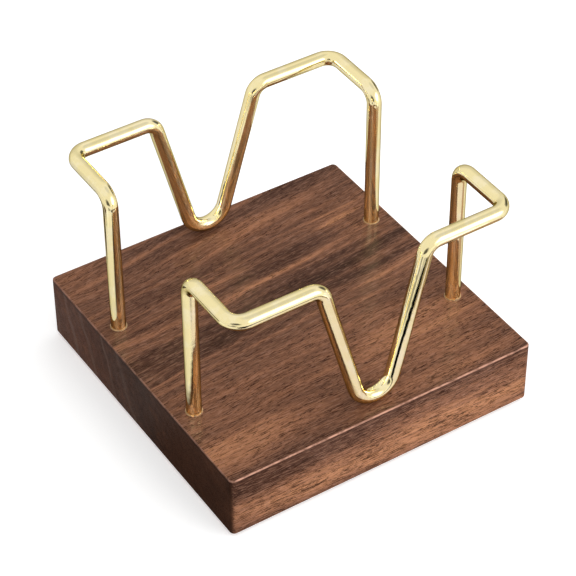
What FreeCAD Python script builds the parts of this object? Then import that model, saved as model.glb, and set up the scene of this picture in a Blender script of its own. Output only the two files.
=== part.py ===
"""Memo pad holder: a solid walnut block that carries two bent brass wire guards.

The pad lies on the block's top face, the deck. A guard stands at the front and one at the
rear. Each is one length of round wire: a leg glued into the block, a return that runs
outwards, a bar along the pad's edge, a V notch that drops to the deck so that a sheet can
be pinched there, and the same again in mirror image. Four pads keep the block off the desk.

Frame, in millimetres: the origin is the middle of the footprint on the desk, +Z is up,
+X runs along the bars and the wood's long grain, and -Y faces the front.
"""
import FreeCAD, Part
import math
import os

# Memo pad and the room around it
pad_side = 76.0
pad_gap_x = 3.6
pad_gap_y = 2.6

# Wire guards
wire_diameter = 4.4
bar_height = 47.5
bend_radius = 4.5
return_length = 22.0
notch_half_width = 17.0
notch_bend_radius = 6.4
notch_gap = 0.05
notch_flare = 1.4
tip_chamfer = 0.4

# Walnut block
margin_x = 4.0
margin_y = 5.0
block_thickness = 20.3
corner_radius = 1.5
top_round = 0.5
bottom_round = 0.4

# Holes for the legs and the glue in them
wood_under_hole = 7.7
glue_under_leg = 0.6
glue_film = 0.15
glue_collar = 0.6
mouth_depth = 0.5

# Desk pads under the block
foot_diameter = 10.0
foot_thickness = 1.2
foot_round = 0.4
foot_inset = 7.0

# Sizes that follow from the ones above
wire_radius = wire_diameter / 2
foot_radius = foot_diameter / 2
leg_x = pad_side / 2 + pad_gap_x + wire_radius
bar_y = pad_side / 2 + pad_gap_y + wire_radius
leg_y = bar_y - return_length
block_half_x = leg_x + wire_radius + margin_x
block_half_y = bar_y + wire_radius + margin_y
block_bottom = foot_thickness
deck = block_bottom + block_thickness
bar_z = deck + bar_height
hole_radius = wire_radius + glue_film
mouth_radius = wire_radius + glue_collar
hole_bottom = block_bottom + wood_under_hole
leg_bottom = hole_bottom + glue_under_leg

UP = FreeCAD.Vector(0, 0, 1)
ENDS = {"rear": 1, "front": -1}
SIDES = {"left": -1, "right": 1}


def corner_arc(before, corner, after, radius):
    """Start, middle and end of the arc that rounds one corner of a bent wire."""
    to_before = (before - corner).normalize()
    to_after = (after - corner).normalize()
    half_angle = to_before.getAngle(to_after) / 2
    inwards = (to_before + to_after).normalize()
    setback = radius / math.tan(half_angle)
    to_middle = radius / math.sin(half_angle) - radius
    return corner + to_before * setback, corner + inwards * to_middle, corner + to_after * setback


def bent_path(points, radii):
    """Straight runs between the points, joined by tangent arcs of the given radii."""
    edges = []
    start = points[0]
    for before, corner, after, radius in zip(points, points[1:], points[2:], radii):
        arc = corner_arc(before, corner, after, radius)
        edges.append(Part.LineSegment(start, arc[0]).toShape())
        edges.append(Part.Arc(*arc).toShape())
        start = arc[2]
    edges.append(Part.LineSegment(start, points[-1]).toShape())
    return Part.Wire(edges)


def notch_apex(end):
    """Where the two straight arms of the V would meet below its rounded bottom.

    The V lies in a plane through the bar that leans outwards by notch_flare at its bottom.
    Each arm runs from the end of its bar and is tangent to the bottom bend.
    """
    drop = FreeCAD.Vector(0, end * notch_flare, deck + notch_gap + wire_radius - bar_z)
    bend_centre = drop.Length - notch_bend_radius
    reach = math.hypot(notch_half_width, bend_centre)
    arm_angle = math.atan2(notch_half_width, bend_centre) - math.asin(notch_bend_radius / reach)
    apex_depth = notch_half_width / math.tan(arm_angle)
    return FreeCAD.Vector(0, end * bar_y, bar_z) + drop.normalize() * apex_depth


def guard_path(end):
    """Centre line of one guard, from the left leg's tip to the right leg's tip."""
    half = [
        FreeCAD.Vector(leg_x, end * leg_y, leg_bottom),
        FreeCAD.Vector(leg_x, end * leg_y, bar_z),
        FreeCAD.Vector(leg_x, end * bar_y, bar_z),
        FreeCAD.Vector(notch_half_width, end * bar_y, bar_z),
    ]
    left = [FreeCAD.Vector(-point.x, point.y, point.z) for point in half]
    bends = [bend_radius] * len(half[1:])
    return bent_path(left + [notch_apex(end)] + half[::-1], bends + [notch_bend_radius] + bends)


def make_guard(end):
    """One wire guard, with the cut ends of its legs chamfered."""
    path = guard_path(end)
    start = FreeCAD.Vector(-leg_x, end * leg_y, leg_bottom)
    section = Part.Wire(Part.Circle(start, UP, wire_radius).toShape())
    guard = path.makePipeShell([section], True, False)
    rims = [
        edge
        for edge in guard.Edges
        if edge.BoundBox.ZMax < leg_bottom + tip_chamfer / 2 and edge.Length > wire_radius
    ]
    return guard.makeChamfer(tip_chamfer, rims)


def level_edges(shape, height):
    """The edges of a shape that lie flat at one height."""
    near = top_round / 10
    return [
        edge
        for edge in shape.Edges
        if abs(edge.BoundBox.ZMin - height) < near and abs(edge.BoundBox.ZMax - height) < near
    ]


def socket(x, y):
    """The room of one leg hole: a blind bore whose mouth widens to the deck."""
    bore = Part.makeCylinder(hole_radius, deck - hole_bottom, FreeCAD.Vector(x, y, hole_bottom))
    below_deck = FreeCAD.Vector(x, y, deck - mouth_depth)
    return bore.fuse(Part.makeCone(hole_radius, mouth_radius, mouth_depth, below_deck))


def make_block():
    """The walnut block with rounded edges and a blind hole for each leg."""
    corner = FreeCAD.Vector(-block_half_x, -block_half_y, block_bottom)
    block = Part.makeBox(2 * block_half_x, 2 * block_half_y, block_thickness, corner)
    uprights = [edge for edge in block.Edges if edge.BoundBox.ZLength > block_thickness / 2]
    block = block.makeFillet(corner_radius, uprights)
    block = block.makeFillet(top_round, level_edges(block, deck))
    block = block.makeFillet(bottom_round, level_edges(block, block_bottom))
    for end in ENDS.values():
        for side in SIDES.values():
            block = block.cut(socket(side * leg_x, end * leg_y))
    return block


def make_glue(guard, side, end):
    """Glue that fills one hole round its leg and creeps up the wire in a small hollow collar."""
    x, y = side * leg_x, end * leg_y
    foot = FreeCAD.Vector(x, y, deck)
    rim = FreeCAD.Vector(x + mouth_radius, y, deck)
    top = FreeCAD.Vector(x + wire_radius, y, deck + glue_collar)
    axis_top = FreeCAD.Vector(x, y, deck + glue_collar)
    waist = FreeCAD.Vector(
        x + mouth_radius - glue_collar * math.sin(math.pi / 4),
        y,
        deck + glue_collar - glue_collar * math.sin(math.pi / 4),
    )
    outline = Part.Wire(
        [
            Part.LineSegment(foot, rim).toShape(),
            Part.Arc(rim, waist, top).toShape(),
            Part.LineSegment(top, axis_top).toShape(),
            Part.LineSegment(axis_top, foot).toShape(),
        ]
    )
    full_turn = 360
    collar = Part.Face(outline).revolve(foot, UP, full_turn)
    return collar.fuse(socket(x, y)).removeSplitter().cut(guard)


def make_foot(side, end):
    """One round pad stuck under a corner of the block, with its lower rim rounded."""
    centre = FreeCAD.Vector(
        side * (block_half_x - foot_inset - foot_radius),
        end * (block_half_y - foot_inset - foot_radius),
        0,
    )
    pad = Part.makeCylinder(foot_radius, foot_thickness, centre)
    return pad.makeFillet(foot_round, level_edges(pad, 0))


def make_parts():
    """Every piece of the holder by its name."""
    parts = {"base_block": make_block()}
    for end_name, end in ENDS.items():
        guard = make_guard(end)
        parts[end_name + "_guard"] = guard
        for side_name, side in SIDES.items():
            parts[end_name + "_" + side_name + "_glue"] = make_glue(guard, side, end)
            parts[end_name + "_" + side_name + "_foot"] = make_foot(side, end)
    return parts


os.makedirs("parts", exist_ok=True)
for name, shape in make_parts().items():
    shape.exportStep("parts/" + name + ".step")
    print(name, len(shape.Solids), "solid,", round(shape.Volume), "cubic mm, valid:", shape.isValid())
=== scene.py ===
"""Memo pad holder: finished surfaces for a walnut block that carries two bent brass guards.

Everything is in metres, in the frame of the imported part: the origin is the middle of the
footprint on the desk, +Z is up, +X runs along the bars and the long grain, -Y is the front.
"""

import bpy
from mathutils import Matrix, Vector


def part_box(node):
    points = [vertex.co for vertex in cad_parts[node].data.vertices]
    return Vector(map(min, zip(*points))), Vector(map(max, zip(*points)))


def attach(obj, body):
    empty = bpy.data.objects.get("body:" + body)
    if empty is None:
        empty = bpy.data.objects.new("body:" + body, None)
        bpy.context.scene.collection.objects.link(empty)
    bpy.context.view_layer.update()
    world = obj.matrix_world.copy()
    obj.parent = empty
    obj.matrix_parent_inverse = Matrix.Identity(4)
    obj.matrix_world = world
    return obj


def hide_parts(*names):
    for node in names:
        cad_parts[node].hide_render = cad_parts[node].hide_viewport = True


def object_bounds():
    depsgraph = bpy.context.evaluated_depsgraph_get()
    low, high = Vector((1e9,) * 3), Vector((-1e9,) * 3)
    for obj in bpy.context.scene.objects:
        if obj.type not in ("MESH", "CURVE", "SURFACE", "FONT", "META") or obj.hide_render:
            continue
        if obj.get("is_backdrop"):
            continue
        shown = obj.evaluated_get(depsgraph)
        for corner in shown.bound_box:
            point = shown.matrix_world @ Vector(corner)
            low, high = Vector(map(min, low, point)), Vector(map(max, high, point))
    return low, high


bl_info = {
    "name": "Memo Pad Holder",
    "version": (1, 0, 0),
    "blender": (4, 5, 0),
    "location": "3D View > Sidebar > Memo Holder",
    "description": "Builds a walnut memo pad holder with bent brass guards",
    "category": "Object",
}

import bpy
import bmesh
import math
import numpy as np
from inspect import signature
from bpy.props import FloatProperty, FloatVectorProperty, PointerProperty
from bpy.types import Operator, Panel, PropertyGroup
from mathutils import Matrix, Vector

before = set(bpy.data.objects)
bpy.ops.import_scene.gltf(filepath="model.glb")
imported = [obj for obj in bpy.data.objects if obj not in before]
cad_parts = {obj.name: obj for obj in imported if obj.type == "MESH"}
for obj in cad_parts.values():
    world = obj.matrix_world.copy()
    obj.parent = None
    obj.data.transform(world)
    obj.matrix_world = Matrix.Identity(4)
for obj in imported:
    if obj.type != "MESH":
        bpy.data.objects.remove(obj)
CAD_BOX = [list(corner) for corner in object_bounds()]

MM = 0.001
ENDS = {"rear": 1, "front": -1}
SIDES = {"left": -1, "right": 1}
BLOCK_LOW, BLOCK_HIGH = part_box("base_block")
GUARD_LOW, GUARD_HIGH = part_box("front_guard")
GLUE_LOW, GLUE_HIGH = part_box("front_right_glue")
FOOT_LOW, FOOT_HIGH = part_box("front_right_foot")
DECK = BLOCK_HIGH.z
DECK_MM = DECK / MM
LEG_CENTRE = (GLUE_LOW + GLUE_HIGH) / 2
FOOT_CENTRE = (FOOT_LOW + FOOT_HIGH) / 2


def length(name, description, millimetres):
    """A size that a user may change. It is kept in metres."""
    return FloatProperty(
        name=name, description=description, default=millimetres * MM, min=0.0,
        unit="LENGTH", precision=5,
    )


def share(name, description, default, top=1.0):
    """A plain number from 0 to its top value."""
    return FloatProperty(name=name, description=description, default=default, min=0.0, max=top)


def colour(name, description, *linear):
    """A colour given by its linear red, green and blue."""
    return FloatVectorProperty(
        name=name, description=description, default=(*linear, 1.0), size=4, subtype="COLOR",
        min=0.0, max=1.0,
    )


def stain(name, description, *screen):
    """A colour given as on a screen, in steps of 0 to 255."""
    part = np.array(screen) / 255
    linear = np.where(part > 0.04045, ((part + 0.055) / 1.055) ** 2.4, part / 12.92)
    return colour(name, description, *linear.tolist())


# ------------ sizes and colours


class BlockSizes(PropertyGroup):
    corner_radius: length("Corner radius", "Upright corners of the block", 1.5)
    top_round: length("Top round", "Radius of the edge round the deck", 0.5)
    bottom_round: length("Bottom round", "Radius of the edge round the underside", 0.4)
    hole_radius: length("Hole radius", "Bore that takes a leg and its glue", 2.35)
    mouth_radius: length("Mouth radius", "Hole at the deck, as far as it shows", 2.5)
    mouth_depth: length("Mouth depth", "Depth of the eased mouth", 0.5)
    hole_depth: length("Hole depth", "From the deck to the bottom of a leg hole", 12.6)


class GuardSizes(PropertyGroup):
    wire_diameter: length("Wire diameter", "Thickness of the brass wire", 4.4)
    bend_radius: length("Bend radius", "Centre line of the wire's corner bends", 4.5)
    return_length: length("Return", "How far the wire runs from a leg out to its bar", 22.0)
    notch_half_width: length("Notch half width", "From the middle to the V's start", 17.0)
    notch_bend_radius: length("Notch bend", "Centre line of the V's bottom bend", 6.4)
    notch_gap: length("Notch gap", "Room between the V's bottom and the deck", 0.05)
    notch_flare: length("Notch flare", "How far the V leans outwards at its bottom", 1.4)
    tip_chamfer: length("Tip chamfer", "Chamfer on the cut end of a leg", 0.4)
    flattening: share("Flattening", "How much the section narrows in mid-bend", 0.02)


class BeadSizes(PropertyGroup):
    collar: length("Collar", "Height and width of the bead above the deck", 0.32)
    overlap: length("Overlap", "How far the bead bites into the wood and the brass", 0.02)
    unevenness: share("Unevenness", "How much the bead's edge wanders round the leg", 0.14)


class FootSizes(PropertyGroup):
    rim_round: length("Rim round", "Radius of the pad's lower rim", 0.4)
    dish: length("Dish", "Depth of the hollow in the pad's underside", 0.12)


class WalnutLook(PropertyGroup):
    darkest: stain("Darkest", "Heartwood in the deepest bands", 57, 34, 22)
    dark: stain("Dark", "Dark grain", 82, 53, 40)
    middle: stain("Middle", "Main colour of the wood", 110, 74, 56)
    light: stain("Light", "Pale grain", 145, 98, 72)
    lightest: stain("Lightest", "Tan streaks", 188, 130, 92)
    fibre: stain("Fibre", "Pale fibres that catch the light", 172, 128, 106)
    pore: stain("Pore", "Open pores", 38, 18, 12)
    end_grain: stain("End grain", "Tint of the sawn ends at the rear", 212, 196, 190)
    end_dark: stain("Dark end grain", "Tint of the sawn ends in front", 155, 147, 142)
    ring: stain("Ring", "Pale rings on the sawn ends", 124, 104, 93)
    # Worn edge colour, which also paints the highlight along the deck's top round.
    worn: stain("Worn edge", "Wood that shows along handled edges", 214, 160, 136)
    sheen: colour("Sheen", "What the bare wood's sheen keeps of light", 1.0, 0.74, 0.52)
    pore_depth: length("Pore depth", "How deep the pores look", 0.05)


class BrassLook(PropertyGroup):
    bright: colour("Bright", "Clean polished brass", 0.913, 0.804, 0.505)
    toned: colour("Toned", "Brass where it has begun to tone", 0.89, 0.765, 0.41)
    edge_tint: colour("Edge tint", "Light kept at the wire's limbs", 0.30, 0.26, 0.16)
    mark_depth: length("Mark depth", "Unit of the wire's ripples and tool marks", 0.004)


class GlueLook(PropertyGroup):
    amber: colour("Amber", "Colour of the set glue", 0.98, 0.64, 0.34)
    ripple: length("Ripple", "Depth of the ripples on the bead", 0.04)


class RubberLook(PropertyGroup):
    pad: stain("Pad", "Colour of the desk pads", 38, 37, 36)
    pale: stain("Scuff", "Where a pad is scuffed or dusty", 84, 82, 79)
    pitting: length("Pitting", "Depth of the pits in the rubber", 0.03)


class StageLook(PropertyGroup):
    floor: colour("Floor", "Colour of the floor", 0.92, 0.92, 0.92)
    lift: share("Lift", "Brightness added to the floor for the camera alone", 0.4)
    mirror_lift: share("Mirror lift", "Brightness added to the floor for mirrors alone", 0.08)
    sky: share("Sky", "Brightness of the surrounding light on the dark side", 0.25, 4.0)
    bright_side: share("Bright side", "Extra brightness on the key side", 0.9, 4.0)
    bounce: share("Bounce", "Light that comes back up from the floor", 0.8, 4.0)
    key: share("Key", "Radiance of the key panel", 2.0, 50.0)
    sheen: share("Sheen", "Lamps that the satin deck shows in the brass", 20.0, 50.0)


# ------------ surfaces

MERGE_DISTANCE = 1e-7
ARC_STEPS, HOLE_RINGS = 6, 9
SIDE_RINGS = (10, 20)
WIRE_STEPS, RUN_STEPS, BEND_STEPS = 40, 6, 14
LATHE_STEPS, SKIN_STEPS = 48, 8
BEAD_PHASES = (0.0, 2.9, 1.7, 4.6)


def grid_quads(rows, columns, wrap_columns=False):
    """Quads between neighbouring nodes of a grid whose nodes are numbered row by row."""
    node = np.arange(rows * columns).reshape(rows, columns)
    if wrap_columns:
        node = np.hstack([node, node[:, :1]])
    corners = [node[:-1, :-1], node[:-1, 1:], node[1:, 1:], node[1:, :-1]]
    return np.stack(corners, -1).reshape(-1, 4)


def add_to_scene(name, data, place=Matrix()):
    """An object of that name, which stands at a place."""
    item = bpy.data.objects.new(name, data)
    item.matrix_world = place
    bpy.context.scene.collection.objects.link(item)
    return item


def make_piece(name, points, quads, attributes=None, uv=None):
    """A smooth-shaded object from node places and quads, with coincident nodes merged.

    attributes holds one value per node for each name; uv holds two values per node.
    """
    mesh = bpy.data.meshes.new(name)
    mesh.from_pydata(points.reshape(-1, 3).tolist(), [], quads.tolist())
    for label, values in (attributes or {}).items():
        layer = mesh.attributes.new(label, "FLOAT", "POINT")
        layer.data.foreach_set("value", np.asarray(values, np.float32))
    if uv is not None:
        layer = mesh.uv_layers.new(name="along_and_round")
        layer.data.foreach_set("uv", uv[quads].astype(np.float32).ravel())
    shell = bmesh.new()
    shell.from_mesh(mesh)
    bmesh.ops.remove_doubles(shell, verts=shell.verts, dist=MERGE_DISTANCE)
    bmesh.ops.recalc_face_normals(shell, faces=shell.faces)
    shell.to_mesh(mesh)
    shell.free()
    mesh.shade_smooth()
    return add_to_scene(name, mesh)


def four_corners(spot):
    """Name and centre of each of four like places, one to each corner of the block."""
    for end_name, end in ENDS.items():
        for side_name, side in SIDES.items():
            yield f"{end_name}_{side_name}", np.array([side * abs(spot.x), end * abs(spot.y)])


def ring_angle(i, j):
    """Angle of node (i, j) on its square ring, spread so that each side takes 90 degrees."""
    steep = np.abs(j) > np.abs(i)
    long_side = np.where(steep, j, np.where(i == 0, 1, i))
    short_side = np.where(steep, i, j)
    turn = np.pi / 4 * short_side / long_side
    return np.where(steep, np.pi / 2 - turn, turn) + np.pi * (long_side < 0)


def even_lines(*stops):
    """Grid lines through (place, steps to reach it) stops, evenly spaced between them."""
    lines = [np.array([stops[0][0]])]
    for (start, _), (end, steps) in zip(stops, stops[1:]):
        lines.append(np.linspace(start, end, steps + 1)[1:])
    return np.concatenate(lines)


def quarter_turn():
    """Angles from 0 to 90 degrees without the first one."""
    return np.linspace(0, np.pi / 2, ARC_STEPS + 1)[1:]


def full_turn(steps):
    """Angles once round, without the last one."""
    return np.arange(steps) * 2 * np.pi / steps


def block_sheet(sizes, skirt_out, skirt_height):
    """Nodes of a sheet that covers the deck's flat middle and runs over its edges.

    The flat middle is a plain grid. Nodes outside it are numbered by how many lines they are
    from it, m = max(di, dj), and stand at the nearest middle node plus skirt_out[m] in the
    direction whose angle is spread evenly over the corner, at skirt_height[m]. So one formula
    makes the sides and the round corners. Returns the nodes, m, that angle and min(di, dj).
    """
    half_x = BLOCK_HIGH.x - sizes.corner_radius
    half_y = BLOCK_HIGH.y - sizes.corner_radius
    leg_y = abs(LEG_CENTRE.y)
    cell = half_x - LEG_CENTRE.x
    span = 2 * HOLE_RINGS
    lines = [
        even_lines(
            (-half_x, 0), (-half_x + 2 * cell, span), (half_x - 2 * cell, 20), (half_x, span),
        ),
        even_lines(
            (-half_y, 0), (-leg_y - cell, 6), (-leg_y + cell, span), (leg_y - cell, 8),
            (leg_y + cell, span), (half_y, 6),
        ),
    ]
    skirt = len(skirt_out) - 1
    places, beyond = [], []
    for along in lines:
        step = np.arange(-skirt, len(along) + skirt)
        nearest = np.clip(step, 0, len(along) - 1)
        beyond.append(step - nearest)
        places.append(along[nearest])
    x, y = np.meshgrid(*places, indexing="ij")
    di, dj = np.meshgrid(*beyond, indexing="ij")
    m = np.maximum(np.abs(di), np.abs(dj))
    angle = ring_angle(np.abs(di), np.abs(dj))
    out = skirt_out[m]
    points = np.stack([
        x + out * np.cos(angle) * np.sign(di),
        y + out * np.sin(angle) * np.sign(dj),
        skirt_height[m],
    ], axis=-1)
    return points, m, angle, np.minimum(np.abs(di), np.abs(dj))


def sink_holes(points, flat, sizes):
    """Sinks the four leg holes into the flat nodes of the deck sheet, in place.

    Round each leg, nodes on the k-th square ring move to the circle with the k-th radius and
    height of the hole's profile: its bottom, the bore, the eased mouth and its rim.
    """
    bore, mouth = sizes.hole_radius, sizes.mouth_radius
    bottom, lip = DECK - sizes.hole_depth, DECK - sizes.mouth_depth
    radius = np.array([0, 0.5 * bore, *[bore] * 5, mouth, mouth + 0.12 * MM])
    height = np.array([
        bottom, bottom, bottom, bottom + 3 * MM, bottom + 7 * MM, lip - MM, lip, DECK, DECK,
    ])
    cell = BLOCK_HIGH.x - sizes.corner_radius - LEG_CENTRE.x
    for _, centre in four_corners(LEG_CENTRE):
        steps = np.rint((points[..., :2] - centre) / cell * HOLE_RINGS).astype(int)
        i, j = steps[..., 0], steps[..., 1]
        ring = np.maximum(np.abs(i), np.abs(j))
        inside = (ring < HOLE_RINGS) & flat
        turn, ring = ring_angle(i, j)[inside], ring[inside]
        points[inside] = np.stack([
            centre[0] + radius[ring] * np.cos(turn),
            centre[1] + radius[ring] * np.sin(turn),
            height[ring],
        ], axis=-1)


def block_surface(sizes):
    """Walnut block: deck sheet with leg holes and skirt, closed underneath by a second sheet.

    The skirt's profile, from the deck outwards: flat, a quarter circle of top_round, the
    upright side, a quarter circle of bottom_round, and a short flat underneath.
    """
    corner, top, bottom = sizes.corner_radius, sizes.top_round, sizes.bottom_round
    support, side_loop, low = 0.08 * MM, 0.35 * MM, BLOCK_LOW.z
    turn = quarter_turn()
    out = np.concatenate([
        [0, 0.35 * (corner - top), 0.7 * (corner - top), corner - top - support, corner - top],
        corner - top + top * np.sin(turn),
        np.full(8, corner),
        corner - bottom + bottom * np.cos(turn),
        [corner - bottom - support],
    ])
    height = np.concatenate([
        np.full(5, DECK),
        DECK - top + top * np.cos(turn),
        [DECK - top - support],
        np.linspace(DECK - top - side_loop, low + bottom + side_loop, 5),
        [low + bottom + support, low + bottom],
        low + bottom - bottom * np.sin(turn),
        [low],
    ])
    # How worn each ring of the skirt is; on the walnut this also places a painted highlight along
    # the top round.
    wear = np.array([
        0, 0, 0, 0.05, 0.4, 0.9, 1, 1, 1, 0.8, 0.3, 0.1, 0,
        0, 0, 0, 0, 0.1, 0.3, 0.8, 1, 1, 1, 0.9, 0.5, 0.2,
    ])
    deck_points, m, angle, both = block_sheet(sizes, out, height)
    sink_holes(deck_points, m == 0, sizes)
    rings = len(out) - 1
    under_out = (corner - bottom - support) * np.arange(rings + 1) / rings
    under_points = block_sheet(sizes, under_out, np.full(rings + 1, low))[0]
    on_upright_corner = (both > 0) & (m >= SIDE_RINGS[0]) & (m <= SIDE_RINGS[1])
    deck_wear = np.maximum(wear[m], 0.55 * np.sin(2 * angle) ** 2 * on_upright_corner)
    under_wear = 0.2 * (m == rings)
    quads = grid_quads(*m.shape)
    return (
        np.concatenate([deck_points, under_points]),
        np.concatenate([quads, quads[:, ::-1] + m.size]),
        {"edge": np.concatenate([deck_wear, under_wear]).ravel()},
    )


def unit(vector):
    """The vector at length 1."""
    return vector / np.linalg.norm(vector)


def turned(vectors, axis, angles):
    """Vectors v turned about a unit axis a by each angle t.

    The result is v cos t + (a x v) sin t + a (a.v)(1 - cos t).
    """
    c, s = np.cos(angles)[:, None, None], np.sin(angles)[:, None, None]
    along = (vectors @ axis)[None, :, None] * axis
    return vectors[None] * c + np.cross(axis, vectors)[None] * s + along * (1 - c)


def bent_line(corners, radii):
    """Stations along straight runs joined by tangent arcs.

    Returns places, the two cross directions at each station, how far into a bend each station
    is (0 on the runs, 1 in the middle of a bend) and the direction to the bend's centre. The
    cross directions turn with the arc, so the section never twists.
    """
    start = corners[0]
    tangent = unit(corners[1] - corners[0])
    side = unit(np.cross(tangent, [0.0, 1.0, 0.0]))
    cross = np.stack([side, np.cross(tangent, side)])
    stations = []

    def add_run(end, shares):
        """Adds stations at the shares of the straight way from start to end."""
        count = len(shares)
        stations.append((
            start + (end - start) * shares[:, None], np.repeat(cross[None], count, 0),
            np.zeros(count), np.zeros((count, 3)),
        ))

    run = np.linspace(0, 1, RUN_STEPS + 1)
    for before, corner, after, radius in zip(corners, corners[1:], corners[2:], radii):
        back, on = unit(before - corner), unit(after - corner)
        half = np.arccos(np.clip(back @ on, -1, 1)) / 2
        bend_start = corner + back * radius / np.tan(half)
        add_run(bend_start, run[:-1])
        axis = unit(np.cross(-back, on))
        middle = corner + unit(back + on) * radius / np.sin(half)
        turn_share = np.linspace(0, 1, BEND_STEPS + 1)
        angles = turn_share * (np.pi - 2 * half)
        arm = turned((bend_start - middle)[None], axis, angles)[:, 0]
        frames = turned(cross, axis, angles)
        stations.append((
            middle + arm[:-1], frames[:-1],
            np.sin(np.pi * turn_share[:-1]) ** 2, -arm[:-1] / radius,
        ))
        start, cross = middle + arm[-1], frames[-1]
    add_run(corners[-1], run)
    return [np.concatenate(part) for part in zip(*stations)]


def guard_corners(sizes, end):
    """Corner points of one guard's centre line, from the left leg's tip to the right one's.

    The apex of the V is where its arms would meet: each arm leaves the bar at
    notch_half_width and is tangent to the bottom bend, in a plane that leans out by the flare.
    """
    wire = sizes.wire_diameter / 2
    bar_z = GUARD_HIGH.z - wire
    bar_y = abs(GUARD_LOW.y) - wire - sizes.notch_flare
    leg_x, leg_y = LEG_CENTRE.x, bar_y - sizes.return_length
    half_width, bend = sizes.notch_half_width, sizes.notch_bend_radius
    drop = np.array([0, end * sizes.notch_flare, DECK + sizes.notch_gap + wire - bar_z])
    depth = np.linalg.norm(drop)
    centre = depth - bend
    lean = math.atan2(half_width, centre) - math.asin(bend / math.hypot(half_width, centre))
    apex = np.array([0, end * bar_y, bar_z]) + drop / depth * half_width / math.tan(lean)
    right = np.array([
        [leg_x, end * leg_y, GUARD_LOW.z],
        [leg_x, end * leg_y, bar_z],
        [leg_x, end * bar_y, bar_z],
        [half_width, end * bar_y, bar_z],
    ])
    return np.concatenate([right * [-1, 1, 1], [apex], right[::-1]])


def guard_surface(sizes, end):
    """Brass guard: a circle carried along the bent centre line.

    The circle's radius is the wire's, less a little across each bend, where drawn wire thins,
    and it closes at the tips through the chamfer to a point.
    """
    radii = [sizes.bend_radius] * 3 + [sizes.notch_bend_radius] + [sizes.bend_radius] * 3
    wire, chamfer = sizes.wire_diameter / 2, sizes.tip_chamfer
    tip = [0, wire - chamfer, wire]
    stations = bent_line(guard_corners(sizes, end), radii)
    last = len(stations[0]) - 1
    ends_thrice = np.clip(np.arange(-2, last + 3), 0, last)
    places, crosses, bends, inward = (part[ends_thrice] for part in stations)
    places[[2, -3], 2] += chamfer
    radius = np.concatenate([tip, np.full(len(places) - 2 * len(tip), wire), tip[::-1]])
    turn = full_turn(WIRE_STEPS)[:, None]
    arm = np.cos(turn) * crosses[:, None, 0] + np.sin(turn) * crosses[:, None, 1]
    across = (arm * inward[:, None]).sum(-1, keepdims=True)
    arm = arm - sizes.flattening * bends[:, None, None] * across * inward[:, None]
    points = places[:, None] + radius[:, None, None] * arm
    steps = np.linalg.norm(np.diff(places, axis=0), axis=1)
    travel = np.insert(np.cumsum(steps), 0, 0)
    uv = np.stack(np.broadcast_arrays(travel[:, None], turn.T * wire), -1).reshape(-1, 2)
    quads = grid_quads(len(places), WIRE_STEPS, wrap_columns=True)
    return points, quads, {"bend": np.repeat(bends, WIRE_STEPS)}, uv


def lathe_surface(centre, radius, height):
    """A profile of radii and heights turned about an upright axis through centre.

    Both are one value, or one row of LATHE_STEPS values, for each point of the profile.
    """
    turn = full_turn(LATHE_STEPS)
    radius, height = (np.reshape(part, (len(part), -1)) for part in (radius, height))
    points = np.stack([
        centre[0] + radius * np.cos(turn), centre[1] + radius * np.sin(turn), height + 0 * turn,
    ], axis=-1)
    return points, grid_quads(len(radius), LATHE_STEPS, wrap_columns=True)


def bead_surface(sizes, block, wire, centre, phase):
    """Glue that fills a leg hole under and round the leg, and stands up round it as a collar.

    The collar's skin is a quarter circle that hollows towards the wood. It swells and sinks
    round the leg by a wave of two sines, most in the middle of the skin.
    """
    turn = np.linspace(0, np.pi / 2, SKIN_STEPS + 1)
    bite = sizes.overlap
    outer, mouth = block.hole_radius + bite, block.mouth_radius + bite
    low, top = GLUE_LOW.z, GUARD_LOW.z + bite
    skin_radius = wire + sizes.collar * (1 - np.sin(turn)) - bite * turn / turn[-1]
    skin_height = DECK + sizes.collar * (1 - np.cos(turn))
    well = [0, outer, outer, mouth]
    radius = np.array([*well, *skin_radius, wire - bite, 0])
    height = np.array([low, low, DECK - block.mouth_depth, DECK - bite, *skin_height, top, top])
    skin = np.zeros(len(radius))
    skin[len(well):][:SKIN_STEPS] = np.sin(np.arange(SKIN_STEPS) / SKIN_STEPS * np.pi)
    angle = full_turn(LATHE_STEPS)
    wave = np.sin(2 * angle + phase) + 0.5 * np.sin(5 * angle + 2 * phase)
    swell = sizes.unevenness * sizes.collar * 0.5 * skin[:, None] * wave
    return lathe_surface(centre, radius[:, None] + swell, height[:, None] + 0.6 * swell)


def foot_surface(sizes, centre):
    """Rubber desk pad: a disc with a rounded lower rim and a shallow dish underneath."""
    outer = (FOOT_HIGH.x - FOOT_LOW.x) / 2
    top, sink, bevel = FOOT_HIGH.z, 0.02 * MM, 0.15 * MM
    rim, dish = sizes.rim_round, sizes.dish
    turn = quarter_turn()
    radius = [
        0, outer * 0.55, outer - bevel, outer, outer, *(outer - rim + rim * np.cos(turn)),
        outer - rim - 0.35 * MM, outer - rim - 0.7 * MM, outer * 0.4, 0,
    ]
    height = [
        *[top + sink] * 3, top - bevel, rim, *(rim - rim * np.sin(turn)),
        0, dish * 0.8, dish, dish,
    ]
    edge = [0, 0, 0.3, 0.2, 0.5, 0.8, 1, 1, 1, 1, 1, 0.8, 0.3, 0, 0]
    points, quads = lathe_surface(centre, radius, height)
    return points, quads, {"edge": np.repeat(edge, LATHE_STEPS)}


# ------------ shader helpers


class Signal:
    """What a socket puts out. Plain arithmetic with it adds Math nodes."""

    def __init__(self, socket):
        self.socket = socket

    def __add__(self, other):
        return math_of("ADD", self, other)

    def __sub__(self, other):
        return math_of("SUBTRACT", self, other)

    def __rsub__(self, other):
        return math_of("SUBTRACT", other, self)

    def __mul__(self, other):
        return math_of("MULTIPLY", self, other)


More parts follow.
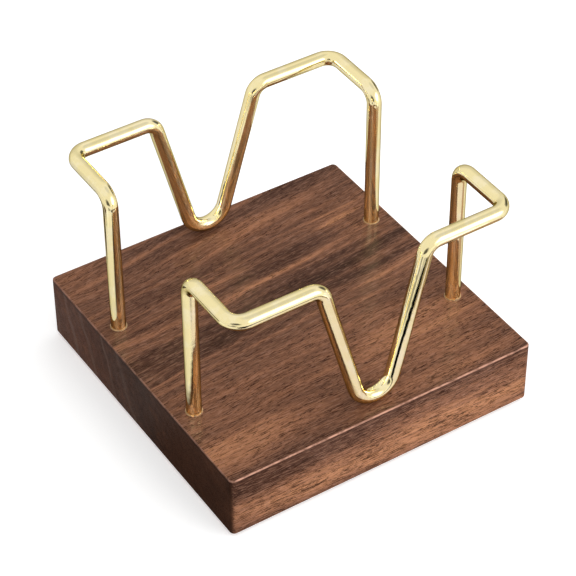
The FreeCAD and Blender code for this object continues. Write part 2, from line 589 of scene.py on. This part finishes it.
def put(kind, inputs=None, tree=None, **settings):
    """Adds a shader node, applies its settings and feeds its inputs with values or signals.

    It goes into the given tree, or else into the one that its signals come from.
    """
    inputs = inputs or {}
    if tree is None:
        tree = next(fed.socket.id_data for fed in inputs.values() if isinstance(fed, Signal))
    node = tree.nodes.new("ShaderNode" + kind)
    for label, value in settings.items():
        setattr(node, label, value)
    for label, value in inputs.items():
        if isinstance(value, Signal):
            tree.links.new(value.socket, node.inputs[label])
        else:
            node.inputs[label].default_value = value
    return node


def read(kind, inputs=None, output=0, tree=None, **settings):
    """Adds a node and returns one of its outputs."""
    return Signal(put(kind, inputs, tree, **settings).outputs[output])


def math_of(operation, *values, clamp=False):
    """The result of a Math node."""
    return read("Math", dict(enumerate(values)), operation=operation, use_clamp=clamp)


def largest(first, second):
    """The larger of two values."""
    return math_of("MAXIMUM", first, second)


def vector_of(operation, *values, output=0):
    """The result of a Vector Math node."""
    return read("VectorMath", dict(enumerate(values)), output, operation=operation)


def scaled(vector, factors):
    """A vector with each part multiplied by its own factor."""
    return vector_of("MULTIPLY", vector, factors)


def parts_of(vector):
    """The x, y and z of a vector."""
    outputs = put("SeparateXYZ", {0: vector}).outputs
    return [Signal(outputs[index]) for index in range(3)]


def remap(value, low, high, to_low=0.0, to_high=1.0, kind="LINEAR"):
    """A value brought from one range into another, held at its ends."""
    inputs = {0: value, 1: low, 2: high, 3: to_low, 4: to_high}
    return read("MapRange", inputs, interpolation_type=kind)


def ease(value, low, high, to_low=0.0, to_high=1.0):
    """The same, with a soft start and a soft end."""
    return remap(value, low, high, to_low, to_high, "SMOOTHSTEP")


def noise_of(vector, scale=1.0, detail=2.0, roughness=0.5):
    """The value of a noise whose cells are about 1 / scale of the vector's unit."""
    inputs = {"Vector": vector, "Scale": scale, "Detail": detail, "Roughness": roughness}
    return read("TexNoise", inputs)


def blend_of(share_of_second, first, second, kind="MIX"):
    """Two colours blended."""
    inputs = {0: share_of_second, 6: first, 7: second}
    return read("Mix", inputs, 2, data_type="RGBA", blend_type=kind)


def ramp_of(value, *tints):
    """A colour read from a ramp through evenly spaced tints."""
    node = put("ValToRGB", {0: value})
    points = node.color_ramp.elements
    points[0].color, points[1].color = tints[0], tints[-1]
    for index, tint in enumerate(tints[1:-1], 1):
        points.new(index / (len(tints) - 1)).color = tint
    return Signal(node.outputs[0])


def bump_of(height, strength, distance):
    """The normal of a surface whose relief is height times distance."""
    return read("Bump", {"Height": height, "Strength": strength, "Distance": distance})


def attribute_of(tree, name):
    """The piece's own value of that name."""
    return read("Attribute", None, "Fac", tree, attribute_name=name)


def object_millimetres(tree):
    """The object's own coordinates, in millimetres."""
    place = read("TexCoord", None, "Object", tree)
    return read("VectorMath", {0: place, "Scale": 1 / MM}, operation="SCALE")


def cleared_tree(owner):
    """The emptied node tree of a material or a world."""
    owner.use_nodes = True
    owner.node_tree.nodes.clear()
    return owner.node_tree


def new_material(name):
    """A material and its empty node tree."""
    material = bpy.data.materials.new(name)
    return material, cleared_tree(material)


def principled(tree, inputs):
    """Joins a Principled BSDF with these inputs to the material's output."""
    shader = read("BsdfPrincipled", inputs, tree=tree)
    put("OutputMaterial", {"Surface": shader})


def effect(build, **inputs):
    """What a shared node group makes of these inputs.

    The group is built at its first use. Its sockets have the names and the defaults of the
    builder's arguments, and what the builder makes of them goes out.
    """
    group = bpy.data.node_groups.get(build.__name__)
    if group is None:
        group = bpy.data.node_groups.new(build.__name__, "ShaderNodeTree")
        sockets = signature(build).parameters
        for label, argument in sockets.items():
            kind = "Vector" if isinstance(argument.default, tuple) else "Float"
            group.interface.new_socket(
                label, in_out="INPUT", socket_type="NodeSocket" + kind
            ).default_value = argument.default
        group.interface.new_socket(
            build.__name__, in_out="OUTPUT", socket_type="NodeSocketFloat"
        )
        start = group.nodes.new("NodeGroupInput").outputs
        made = build(*(Signal(start[label]) for label in sockets))
        group.links.new(made.socket, group.nodes.new("NodeGroupOutput").inputs[0])
    return read("Group", inputs, node_tree=group)


def smudges(vector=(0, 0, 0), size=12.0, coverage=0.5):
    """Handling marks: soft clouds of slightly duller finish, 0 clean to 1 smudged."""
    cloud = noise_of(vector, math_of("DIVIDE", 1.0, size), 4.0, 0.6)
    edge = 0.85 - coverage * 0.5
    return ease(cloud, edge - 0.2, edge)


def edge_wear(vector=(0, 0, 0), edge=0.0, size=3.0, amount=0.5):
    """Edge wear: the piece's own edge value, broken up by noise so that it comes and goes."""
    cloud = noise_of(vector, math_of("DIVIDE", 1.0, size), 3.0, 0.6)
    patchy = remap(cloud, 0.36, 0.62, 0.2, 1.0)
    return math_of("MULTIPLY", edge * patchy, amount, clamp=True)


def figure_streak(grain=(0, 0, 0), centre=(0, 0, 0), half_size=(1, 1, 1)):
    """One figure streak in the wood: a long soft spot, 1 in its middle and 0 outside."""
    away = vector_of("DIVIDE", vector_of("SUBTRACT", grain, centre), half_size)
    return ease(vector_of("LENGTH", away, output="Value"), 1.35, 0.25)


# ------------ materials

# Streaks of the board's figure: where the middle of each is, in millimetres in the part's own
# frame, its half size along the grain, across it and up, and how much lighter or darker it is.
FIGURE = [
    ((-44, 42, 21), (16, 9, 30), 0.12),
    ((34, 46, 21), (22, 5, 30), -0.16),
    ((-24, 34, 21), (30, 3.5, 30), 0.02),
    ((-26, 26, 21), (18, 3.0, 30), -0.18),
    ((18, 40, 21), (26, 5, 30), 0.16),
    ((38, 27.5, 21), (15, 4.5, 10), 0.20),
    ((36, 27.5, 21), (9, 1.4, 6), 0.34),
    ((10, 20, 21), (22, 4.0, 30), -0.34),
    ((-4, 4, 21), (62, 7, 30), -0.36),
    ((8, 6.5, 21), (26, 2.0, 30), -0.12),
    ((4, -22, 21), (56, 13, 5), 0.13),
    ((26, -28, 21), (28, 11, 5), 0.24),
    ((-42, -40, 21), (28, 7, 6), 0.30),
    ((24, -44, 21), (36, 6, 5), 0.22),
    ((-40, -50, 17.2), (44, 2.8, 4.8), -0.30),
    ((12, -50, 19.2), (36, 2.2, 3.2), -0.16),
    ((10, -50, 8), (90, 7, 8), 0.42),
]
# The grain climbs by this share of x at the middle of the deck, and by this much more for each
# millimetre towards the rear. Rings lean by this share of the height, and are this far apart.
GRAIN_SLOPE, GRAIN_FAN = 0.085, 0.0009
RING_LEAN, RING_SPACING = 0.364, 11.5


def walnut_grain(place):
    """Millimetres along the grain, across the rings and up, at a place of the block.

    The rings are counted from the front: y, less the grain's climb and the rings' lean, plus
    a slow drift that makes the grain wander.
    """
    x, y, z = parts_of(place)
    drift = remap(noise_of(scaled(place, (0.016, 0.05, 0.05))), 0.2, 0.8, -1.8, 1.8)
    climb = x * (y * GRAIN_FAN + GRAIN_SLOPE)
    across = y - climb - (z - DECK_MM) * RING_LEAN + drift
    return across, read("CombineXYZ", {0: x, 1: across, 2: z})


def walnut_tone(across, grain, broad, bands):
    """How light the wood is, from 0 to 1: wide and narrow bands and the figure's streaks.

    The narrow bands are strongest in the middle of the deck and calmer to its front and rear.
    """
    calm = ease(across, -22.0, 2.0, 0.6, 1.6)
    calm = calm - ease(across, 18.0, 36.0, 0.0, 0.6)
    tone = broad * 0.5 + 0.285 + (bands - 0.5) * calm
    for (x, y, z), half_size, lift in FIGURE:
        level = y - x * (GRAIN_SLOPE + GRAIN_FAN * y) - (z - DECK_MM) * RING_LEAN
        streak = effect(figure_streak, grain=grain, centre=(x, level, z), half_size=half_size)
        tone = streak * lift + tone
    return tone


def sawn_ends(look, place, across, grain, wood):
    """The wood's colour where the block is sawn across: duller, with rings towards the rear."""
    wobble = noise_of(scaled(grain, (0.04, 0.09, 0.09)))
    ring = math_of("FRACT", across * (1 / RING_SPACING) + (wobble * 0.7 - 0.085))
    rear = ease(across, 2.0, 18.0)
    broken = remap(noise_of(place, 0.12), 0.3, 0.7, 0.1, 0.33)
    late_line = ease(math_of("ABSOLUTE", ring - 0.5), 0.15, 0.0) * (rear * broken)
    early = remap(ring, 0.58, 0.95, 0.18, 0.0) * rear
    tint = blend_of(ease(across, 2.0, 54.0), look.end_dark, look.end_grain)
    sawn = blend_of(1.0, wood, tint, "MULTIPLY")
    return blend_of(late_line, blend_of(early, sawn, look.pore), look.ring)


def walnut_material(look):
    """Oiled walnut: banded heartwood with fine fibres, short dark pores and a satin finish.

    The pattern is a solid one, so the faces and the end grain belong to one board. Its grain
    runs along X and climbs a little towards the rear right; across it, rings stand at about 20
    degrees off upright, as on a board sawn near the quarter.
    """
    material, tree = new_material("oiled_walnut")
    place = object_millimetres(tree)
    _, front_to_rear, height = parts_of(place)
    across, grain = walnut_grain(place)

    def fibres(along, sideways, detail=2.0, roughness=0.5, offset=0.0):
        """Noise drawn out along the grain; the two sizes are its cells in millimetres."""
        stretched = scaled(grain, (1 / along, 1 / sideways, 1.15 / sideways))
        moved = vector_of("ADD", stretched, (offset, 2.3 * offset, 0.7 * offset))
        return noise_of(moved, 1.0, detail, roughness)

    broad = fibres(90.0, 6.0, offset=3.1)
    bands = fibres(44.0, 1.9, 3.0, 0.55, 11.7)
    fine = fibres(3.0, 0.42, 2.0, 0.6, 23.3)
    end_share = ease(attribute_of(tree, "end_grain"), 0.35, 0.95)
    on_faces = remap(end_share, 0.0, 1.0, 1.0, 0.35)
    on_sides = remap(height, DECK_MM - 0.3, DECK_MM - 1.0)

    tone = walnut_tone(across, grain, broad, bands)
    tone = (0.40 - tone) * (end_share * 0.5) + tone
    wood = ramp_of(tone, look.darkest, look.dark, look.middle, look.light, look.lightest)
    contrast = on_sides * 0.22 + 0.5
    # Pale fibres: partly the wood's own colour, partly a painted sheen where they catch the
    # light.
    wood = blend_of(remap(fine, 0.5, 0.8) * contrast * on_faces, wood, look.fibre)
    wood = blend_of(remap(fine, 0.5, 0.24) * contrast * on_faces, wood, look.pore)

    crowd = remap(fibres(16.0, 2.2, offset=91.0), 0.35, 0.65, -0.035, 0.035)
    crowd = on_sides * 0.015 + crowd + remap(across, -8.0, -26.0, 0.0, 0.02)
    long_pores = fibres(5.2, 0.3, 3.0, 0.65, 61.0) + crowd
    short_pores = fibres(2.0, 0.3, 2.0, 0.6, 71.0) + crowd
    pores = largest(ease(long_pores, 0.585, 0.64), ease(short_pores, 0.60, 0.66) * 0.9)
    wood = blend_of(pores * (on_faces * 0.85), wood, look.pore)
    wood = blend_of(end_share, wood, sawn_ends(look, place, across, grain, wood))

    edge = ease(attribute_of(tree, "edge"), 0.68, 1.0)
    # Pale edge colour: partly wear, partly a painted highlight along the top round.
    wear = effect(edge_wear, vector=place, edge=edge, size=3.0, amount=1.2)
    # Painted highlight: the pale edge colour is made strongest along the front top edge.
    wear = wear * remap(front_to_rear, -47.0, -49.5, 0.3, 0.8)
    # Painted shade: a dark line in the pore colour just under the top round, on the block's
    # sides.
    under_edge = ease(height, DECK_MM - 1.5, DECK_MM - 0.9)
    under_edge = under_edge * ease(height, DECK_MM - 0.3, DECK_MM - 0.6)
    wood = blend_of(wear, blend_of(under_edge * 0.5, wood, look.pore), look.worn)

    smudge = effect(smudges, vector=place, size=16.0, coverage=0.5)
    satin = fibres(5.0, 0.5, offset=41.0) * 0.16 + 0.42
    oil = remap(smudge, 0.0, 1.0, 0.13, 0.09) * remap(pores, 0.0, 1.0, 1.0, 0.15)
    oil = oil * remap(end_share, 0.0, 1.0, 1.0, 0.04)
    principled(tree, {
        "Base Color": wood,
        "Roughness": pores * 0.2 + (smudge * 0.06 + satin),
        "Specular IOR Level": 0.08,
        "Specular Tint": look.sheen,
        "Coat Weight": largest(oil, edge * 0.3),
        "Coat Roughness": 0.26,
        "Normal": bump_of(fine * 0.35 - pores, 0.6, look.pore_depth),
    })
    return material


def brass_material(look):
    """Polished brass wire: bright, with faint drawing lines, and tool marks where it was bent."""
    material, tree = new_material("polished_brass")
    place = object_millimetres(tree)
    smudge = effect(smudges, vector=place, size=5.0, coverage=0.6)
    along = read("UVMap", tree=tree, uv_map="along_and_round")
    lines = noise_of(scaled(along, (60.0, 5200.0, 0.0)), roughness=0.6)
    ripple = noise_of(place, 0.35, 1.0)
    marks = noise_of(place, 0.75) * (attribute_of(tree, "bend") * 9.0)
    principled(tree, {
        "Base Color": blend_of(smudge, look.bright, look.toned),
        "Metallic": 1.0,
        "Roughness": smudge * 0.03 + (lines * 0.03 + 0.03),
        "Specular Tint": look.edge_tint,
        "Normal": bump_of(ripple * 7.0 + lines * 0.12 + marks, 1.0, look.mark_depth),
    })
    return material


def glue_material(look):
    """Set glue: a glossy, see-through amber film that looks denser where it is seen edge on."""
    material, tree = new_material("set_glue")
    place = object_millimetres(tree)
    haze = effect(smudges, vector=place, size=2.5, coverage=0.5)
    rim = read("LayerWeight", {"Blend": 0.35}, "Facing", tree)
    principled(tree, {
        "Base Color": look.amber,
        "Roughness": remap(haze, 0.0, 1.0, 0.05, 0.12),
        "Alpha": haze * 0.1 + remap(rim, 0.1, 0.9, 0.3, 0.8),
        "Normal": bump_of(noise_of(place, 0.9, 1.0), 0.4, look.ripple),
    })
    return material


def rubber_material(look):
    """Matt rubber pads, scuffed at the rim."""
    material, tree = new_material("pad_rubber")
    place = object_millimetres(tree)
    edge = attribute_of(tree, "edge")
    wear = effect(edge_wear, vector=place, edge=edge, size=1.5, amount=0.5)
    dust = effect(smudges, vector=place, size=2.5, coverage=0.6)
    marks = largest(wear, dust * 0.35)
    principled(tree, {
        "Base Color": blend_of(marks, look.pad, look.pale),
        "Roughness": remap(marks, 0.0, 1.0, 0.62, 0.85),
        "Normal": bump_of(noise_of(place, 5.0, roughness=0.6), 0.5, look.pitting),
    })
    return material


def add_piece(name, surface, material, slot, node):
    """Makes a piece of a surface, hides the node that it replaces and hangs it on the root body.
    """
    piece = make_piece(name, *surface)
    piece.data.materials.append(material)
    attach(piece, "root")
    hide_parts(node)
    return piece


# ------------ studio

KEY_WAY, KEY_DISTANCE, KEY_SIZE = (0.47, -0.81, 0.34), 1.0, 0.85
KEY_CARD_SHARE, KEY_CARD_HALF = 0.8, (0.52, 0.44)
GLOW_WAY = (0.55, -0.62, 0.56)
FLOOR_REACH, FLOOR_DROP = 3.0, 0.02 * MM
CAMERA_SENSOR, CAMERA_LENS = 36.0, 143.024
CAMERA_AZIMUTH, CAMERA_ELEVATION, CAMERA_ROLL = -32.8106, 41.0639, -0.2333
CAMERA_AIM, CAMERA_DISTANCE = (11.857, 17.687, 11.5), 0.68177

# Places of the surround: azimuth, elevation, and how far from there its rim and its core are,
# in degrees. Mirrors see it a little dim in the first and dark in the second. The third are
# lamps that show in the brass only by way of a second mirror, such as the deck's sheen.
DIM_PLACES = [(155, 12, 40, 10), (65, 66, 26, 8)]
DARK_PLACES = [(-45, 4, 26, 12), (101, 11, 23, 9)]
LAMP_PLACES = [(46, 42, 26, 8), (-58, 42, 26, 8)]
DIM_SHARE, DARK_SHARE = 0.2, 0.88

# Soft ovals that lie on the floor for mirrors alone. Each has the light it adds, or the share
# of the floor's light it keeps, then its half sizes and place in millimetres and its turn in
# radians: half x, half y, turn, x, y. The shade cards, side_shadow and rear_shade are painted
# shadow of the block on the floor round it, as mirrors see it; the brown ones also paint the
# reflection of the wood's dark sides.
FLOOR_GLOWS = [
    ("key_streak", (1.2, 1.2, 1.4), 66, 18, -1.15, 97, -165),
    ("left_glow", (0.15, 0.20, 0.30), 28, 36, 0.0, -140, -5),
    ("rear_glow", (0.01, 0.06, 0.32), 62, 60, 0.0, -92, 135),
]
FLOOR_FLAGS = [
    ("black_flag", (0.0, 0.0, 0.0), 45, 50, 0.0, -66, -127),
    ("long_flag", (0.0, 0.0, 0.0), 62, 37, -0.2, -24, -157),
    ("flag_tail", (0.35, 0.30, 0.20), 54, 28, 0.2, 40, -143),
    ("grey_flag", (0.40, 0.39, 0.36), 54, 80, 0.0, -168, -130),
    ("far_flag", (0.15, 0.14, 0.12), 80, 42, 0.8, -255, -195),
    ("low_flag", (0.62, 0.60, 0.60), 56, 30, 0.0, -80, -194),
    # Painted shadow round the block on the floor, as mirrors see it, tinted brown as a painted
    # reflection of the wood's dark sides:
    ("side_shadow", (0.08, 0.04, 0.02), 40, 36, 0.0, -149, 50),
    ("rear_shade", (0.05, 0.03, 0.02), 28, 26, 0.0, -90, 82),
    ("near_floor_shade", (0.91, 0.87, 0.98), 125, 50, 0.0, 0, -100),
    ("left_shade", (0.10, 0.05, 0.03), 21, 42, 0.0, -60, -32),
    ("front_shade", (0.12, 0.06, 0.035), 30, 18, 0.0, -40, -59),
    ("front_edge_shade", (0.75, 0.66, 0.60), 62, 17, 0.0, 0, -56),
    ("right_shade", (0.55, 0.40, 0.32), 50, 26, -0.95, 78, -69),
    ("right_edge_shade", (0.30, 0.26, 0.22), 16, 24, 0.0, 58, 14),
]
LOWEST_CARD, CARD_STEP = 0.3, 0.05


def direction(azimuth, elevation):
    """The way to an azimuth, counted from the front towards the right, and an elevation."""
    azimuth, elevation = math.radians(azimuth), math.radians(elevation)
    return Vector((
        math.sin(azimuth) * math.cos(elevation),
        -math.cos(azimuth) * math.cos(elevation),
        math.sin(elevation),
    ))


def facing_deck(way, distance):
    """The place of a thing that stands off in a direction and faces the deck's middle."""
    way = Vector(way).normalized()
    turn = way.to_track_quat("Z", "Y").to_matrix().to_4x4()
    return Matrix.Translation(way * distance + Vector((0, 0, DECK))) @ turn


def ray_kinds(tree):
    """Masks of rays from the camera, from mirrors, and from either of them or through glass.

    The last value is how many mirrors a ray has met.
    """
    path = put("LightPath", tree=tree).outputs
    camera, mirrored, through, mirrors = (
        Signal(path[label])
        for label in ("Is Camera Ray", "Is Glossy Ray", "Is Transmission Ray", "Glossy Depth")
    )
    return camera, mirrored, largest(largest(camera, mirrored), through), mirrors


def card_material(name, colour, adds):
    """What mirrors see of a card, fading at its rim.

    It is light that the card adds, or the share that it keeps of the light behind it.
    """
    material, tree = new_material(name)
    flat = scaled(read("TexCoord", None, "Object", tree), (1, 1, 0))
    core = ease(vector_of("LENGTH", flat, output="Value"), 1.0, 0.55)
    if adds:
        strength = max(colour)
        tint = (*(part / strength for part in colour), 1.0)
        glow = read("Emission", {"Color": tint, "Strength": core * strength})
        clear = read("BsdfTransparent", tree=tree)
        seen = read("AddShader", {0: clear, 1: glow})
    else:
        shade = vector_of("MULTIPLY_ADD", core, [part - 1 for part in colour], (1, 1, 1))
        seen = read("BsdfTransparent", {"Color": shade})
    put("OutputMaterial", {"Surface": seen})
    return material


def mirror_card(name, colour, adds, place, half_width, half_height):
    """A soft-edged oval card that only mirrors show. It throws no light and no shadow."""
    corners = [[-1, -1, 0], [1, -1, 0], [1, 1, 0], [-1, 1, 0]]
    mesh = bpy.data.meshes.new(name)
    mesh.from_pydata(corners, [], [[0, 1, 2, 3]])
    mesh.materials.append(card_material(name, colour, adds))
    card = add_to_scene(name, mesh, place)
    card.scale = (half_width, half_height, 1.0)
    for ray in ("camera", "diffuse", "shadow", "transmission", "volume_scatter"):
        setattr(card, f"visible_{ray}", False)
    card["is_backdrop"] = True


def add_key_light(look):
    """A square soft lamp, and a card that stands in for it in mirrors, which don't show it."""
    place = facing_deck(KEY_WAY, KEY_DISTANCE)
    data = bpy.data.lights.new("key_panel", "AREA")
    data.shape, data.size = "SQUARE", KEY_SIZE
    data.energy = look.key * KEY_SIZE * KEY_SIZE * math.pi
    add_to_scene("key_panel", data, place).visible_glossy = False
    mirror_card("key_card", (KEY_CARD_SHARE * look.key,) * 3, True, place, *KEY_CARD_HALF)


def studio_world(look):
    """A white surround as the camera and mirrors see it, and a softer one-sided glow as light."""
    world = bpy.data.worlds.new("studio_surround")
    bpy.context.scene.world = world
    tree = cleared_tree(world)
    way = read("TexCoord", None, "Generated", tree)

    def nearness(aim):
        """The cosine of the angle between a ray and an aim."""
        return vector_of("DOT_PRODUCT", way, aim, output="Value")

    def in_places(places, join):
        """1 in the core of either place and 0 outside both, joined where they overlap."""
        first, second = (
            ease(nearness(direction(azimuth, elevation)), *np.cos(np.radians([rim, core])))
            for azimuth, elevation, rim, core in places
        )
        return math_of(join, first, second)

    glow = ease(
        nearness(Vector(GLOW_WAY).normalized()), -0.7, 0.9,
        look.sky, look.sky + look.bright_side,
    )
    below = remap(parts_of(way)[2], 0.02, -0.02)
    strength = below * look.bounce + glow * (1.0 - below)
    light = read("Background", {"Color": (1, 1, 1, 1), "Strength": strength})
    _, mirrored, direct, mirrors = ray_kinds(tree)
    dim, dark = (in_places(places, "MAXIMUM") for places in (DIM_PLACES, DARK_PLACES))
    dim = largest(dim * DIM_SHARE, dark * DARK_SHARE)
    lamps = in_places(LAMP_PLACES, "ADD") * math_of("GREATER_THAN", mirrors, 1.5)
    strength = 1.0 - dim * mirrored + lamps * look.sheen
    seen = read("Background", {"Color": (1, 1, 1, 1), "Strength": strength})
    put("OutputWorld", {"Surface": read("MixShader", {0: direct, 1: light, 2: seen})})


def floor_material(look):
    """A pale floor that keeps the object's shadow.

    The camera and mirrors see it from above. From below it is open, and soft light passes it
    and meets the surround's own bounce, so that the underside isn't left in the dark.
    """
    material, tree = new_material("pale_floor")
    camera, mirrored, direct, _ = ray_kinds(tree)
    card = read("BsdfDiffuse", {"Color": look.floor}, tree=tree)
    lift = mirrored * look.mirror_lift + camera * look.lift
    lifted = read("AddShader", {0: card, 1: read("Emission", {"Strength": lift})})
    above = 1.0 - read("NewGeometry", None, "Backfacing", tree)
    clear = read("BsdfTransparent", tree=tree)
    seen = read("MixShader", {0: direct * above, 1: clear, 2: lifted})
    put("OutputMaterial", {"Surface": seen})
    return material


def add_floor(look):
    """A flat square floor just under the desk pads, facing up."""
    steps = np.linspace(-FLOOR_REACH, FLOOR_REACH, 7)
    points = np.stack(np.meshgrid(steps, steps, [-FLOOR_DROP], indexing="ij"), -1)
    floor = make_piece("floor", points, grid_quads(len(steps), len(steps))[:, ::-1])
    if floor.data.polygons[0].normal.z < 0:
        floor.data.flip_normals()
    floor.data.materials.append(floor_material(look))
    floor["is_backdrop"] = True


def add_camera(scene):
    """The camera, aimed at a point of the deck."""
    camera = bpy.data.cameras.new("camera")
    camera.sensor_width, camera.lens = CAMERA_SENSOR, CAMERA_LENS
    camera.clip_start, camera.clip_end = 0.01, 20.0
    back, roll = direction(CAMERA_AZIMUTH, CAMERA_ELEVATION), math.radians(CAMERA_ROLL)
    level = Vector((0, 0, 1)).cross(back).normalized()
    right = level * math.cos(roll) + back.cross(level) * math.sin(roll)
    turn = Matrix((right, back.cross(right), back)).transposed().to_4x4()
    place = Matrix.Translation(Vector(CAMERA_AIM) * MM + back * CAMERA_DISTANCE) @ turn
    scene.camera = add_to_scene("camera", camera, place)


# ------------ operators


class MEMO_OT_block(Operator):
    """Add the walnut block with its four leg holes"""

    bl_idname = "memo.add_block"
    bl_label = "Walnut Block"

    def execute(self, context):
        surface = block_surface(context.scene.memo_block)
        material = walnut_material(context.scene.memo_walnut)
        mesh = add_piece("walnut_block", surface, material, "walnut", "base_block").data
        layer = mesh.attributes.new("end_grain", "FLOAT", "POINT")
        layer.data.foreach_set("value", [abs(vertex.normal.x) for vertex in mesh.vertices])
        return {"FINISHED"}


class MEMO_OT_guards(Operator):
    """Add the front and the rear brass guard"""

    bl_idname = "memo.add_guards"
    bl_label = "Brass Guards"

    def execute(self, context):
        material = brass_material(context.scene.memo_brass)
        for name, end in ENDS.items():
            surface = guard_surface(context.scene.memo_guard, end)
            add_piece(f"{name}_wire", surface, material, "brass", f"{name}_guard")
        return {"FINISHED"}


class MEMO_OT_beads(Operator):
    """Add the bead of clear glue in each leg hole"""

    bl_idname = "memo.add_beads"
    bl_label = "Glue Beads"

    def execute(self, context):
        scene = context.scene
        wire = scene.memo_guard.wire_diameter / 2
        material = glue_material(scene.memo_glue)
        for (name, centre), phase in zip(four_corners(LEG_CENTRE), BEAD_PHASES):
            surface = bead_surface(scene.memo_bead, scene.memo_block, wire, centre, phase)
            add_piece(f"{name}_bead", surface, material, "clear_glue", f"{name}_glue")
        return {"FINISHED"}


class MEMO_OT_feet(Operator):
    """Add the four rubber desk pads"""

    bl_idname = "memo.add_feet"
    bl_label = "Desk Pads"

    def execute(self, context):
        material = rubber_material(context.scene.memo_rubber)
        for name, centre in four_corners(FOOT_CENTRE):
            surface = foot_surface(context.scene.memo_foot, centre)
            add_piece(f"{name}_pad", surface, material, "rubber_pad", f"{name}_foot")
        return {"FINISHED"}


class MEMO_OT_stage(Operator):
    """Add the floor, the light and the camera"""

    bl_idname = "memo.add_stage"
    bl_label = "Stage"

    def execute(self, context):
        scene, look = context.scene, context.scene.memo_stage
        add_floor(look)
        studio_world(look)
        add_key_light(look)
        for layer, card in enumerate(FLOOR_GLOWS + FLOOR_FLAGS):
            name, colour, half_x, half_y, turn, x, y = card
            place = Vector((x, y, LOWEST_CARD + CARD_STEP * layer)) * MM
            place = Matrix.Translation(place) @ Matrix.Rotation(turn, 4, "Z")
            adds = layer < len(FLOOR_GLOWS)
            mirror_card(name, colour, adds, place, half_x * MM, half_y * MM)
        add_camera(scene)
        scene.view_settings.view_transform = "Standard"
        return {"FINISHED"}


class MEMO_PT_sidebar(Panel):
    """Lists the sizes, the looks and the operators of the memo pad holder"""

    bl_label = "Memo Pad Holder"
    bl_idname = "MEMO_PT_sidebar"
    bl_space_type = "VIEW_3D"
    bl_region_type = "UI"
    bl_category = "Memo Holder"

    def draw(self, context):
        for label in PROPERTIES:
            group = getattr(context.scene, label)
            column = self.layout.column(heading=label.removeprefix("memo_").capitalize())
            for item in group.bl_rna.properties:
                if not item.is_readonly and item.identifier != "name":
                    column.prop(group, item.identifier)
        for operator in OPERATORS:
            self.layout.operator(operator.bl_idname)


PROPERTIES = {
    "memo_block": BlockSizes,
    "memo_guard": GuardSizes,
    "memo_bead": BeadSizes,
    "memo_foot": FootSizes,
    "memo_walnut": WalnutLook,
    "memo_brass": BrassLook,
    "memo_glue": GlueLook,
    "memo_rubber": RubberLook,
    "memo_stage": StageLook,
}
OPERATORS = [MEMO_OT_block, MEMO_OT_guards, MEMO_OT_beads, MEMO_OT_feet, MEMO_OT_stage]

register_classes, unregister_classes = bpy.utils.register_classes_factory(
    (*PROPERTIES.values(), *OPERATORS, MEMO_PT_sidebar)
)


def register():
    register_classes()
    for label, group in PROPERTIES.items():
        setattr(bpy.types.Scene, label, PointerProperty(type=group))


def unregister():
    for label in PROPERTIES:
        delattr(bpy.types.Scene, label)
    unregister_classes()


def main():
    """Builds every piece and the stage, and works out how large the finished object is."""
    register()
    bpy.ops.memo.add_block()
    bpy.ops.memo.add_guards()
    bpy.ops.memo.add_beads()
    bpy.ops.memo.add_feet()
    bpy.ops.memo.add_stage()
    sizes = {"cad": CAD_BOX, "visual": [list(corner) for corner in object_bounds()]}


if __name__ == "__main__":
    main()
